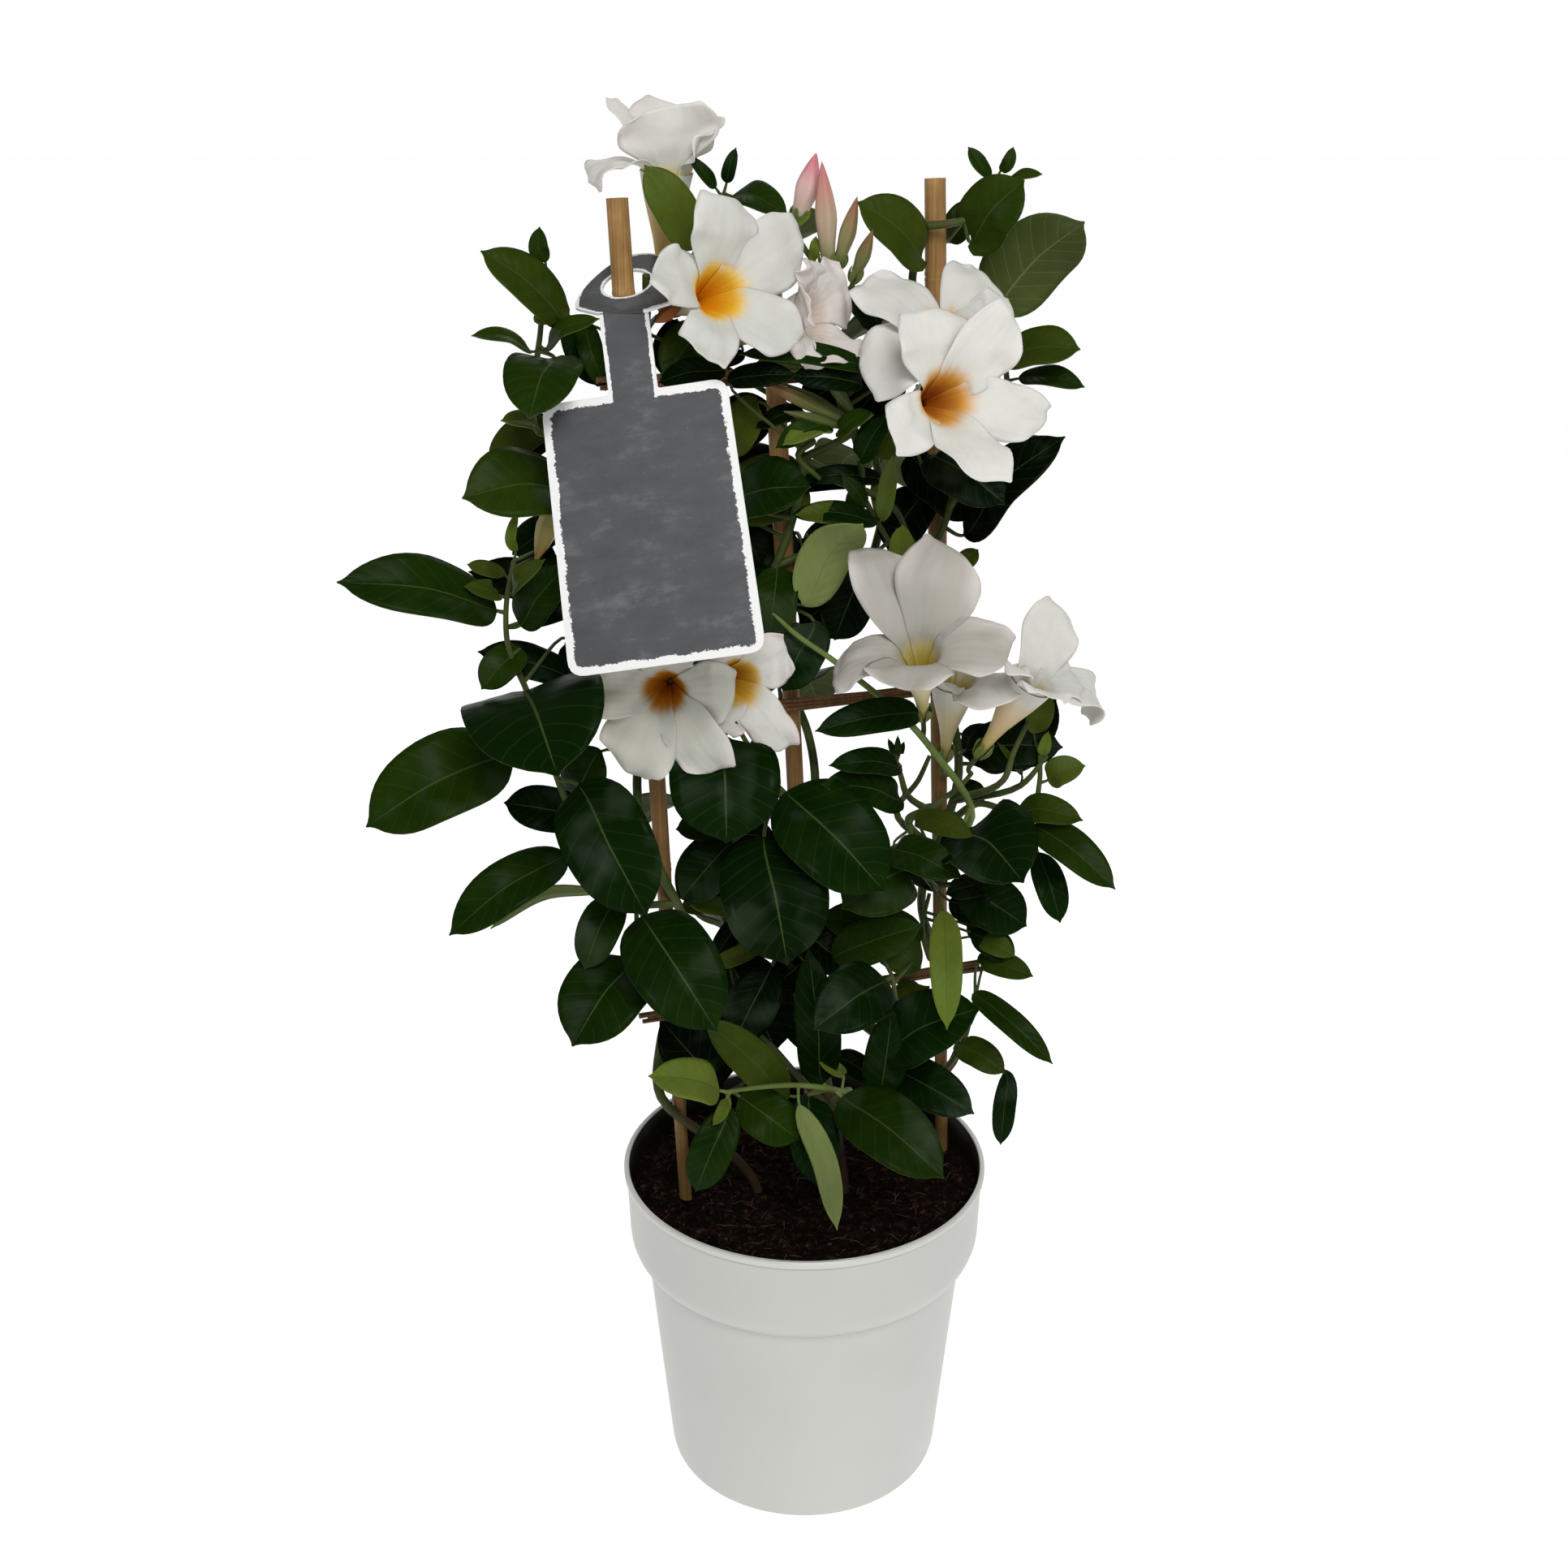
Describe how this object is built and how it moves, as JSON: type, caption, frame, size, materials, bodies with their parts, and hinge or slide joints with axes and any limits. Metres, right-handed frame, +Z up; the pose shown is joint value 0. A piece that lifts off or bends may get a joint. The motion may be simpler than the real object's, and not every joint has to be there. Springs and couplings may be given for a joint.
{
  "type": "potted climbing mandevilla on a cane rack",
  "caption": "Climbing mandevilla with glossy leaves and white funnel flowers, trained on a flat cane rack in a round nursery pot of soil, with a blank hang tag.",
  "frame": {"origin": "middle of the pot's flat underside, on the surface that it stands on", "axes": "+Z up along the pot's axis and the canes, +X along the rack to the viewer's right, -Y towards the viewer, the side that the tag and most of the flowers face"},
  "size_m": [0.3101, 0.1976, 0.6258],
  "materials": {
    "pot": "satin",
    "soil": "matte",
    "cane": "satin",
    "tag": "matte",
    "leaf": "satin",
    "petal": "matte",
    "bud": "satin"
  },
  "bodies": {
    "root": {"pot": "pot", "soil": "soil", "cane_left": "cane", "cane_middle": "cane", "cane_right": "cane", "bar_low": "cane", "bar_middle": "cane", "bar_top": "cane", "tag": "tag", "bloom_top": "petal", "bloom_face_left": "petal", "bloom_half_open": "petal", "bloom_right_front": "petal", "bloom_right_behind": "petal", "bloom_centre": "petal", "bloom_centre_behind": "petal", "bloom_right": "petal", "bloom_under_tag": "petal", "bloom_beside": "petal", "bud_top_left": "bud", "bud_top_middle": "bud", "bud_top_right": "bud", "bud_top_low": "bud", "bud_left_low": "bud", "vine_left": "leaf", "vine_middle": "leaf", "vine_right": "leaf", "vine_back": "leaf"}
  },
  "joints": []
}
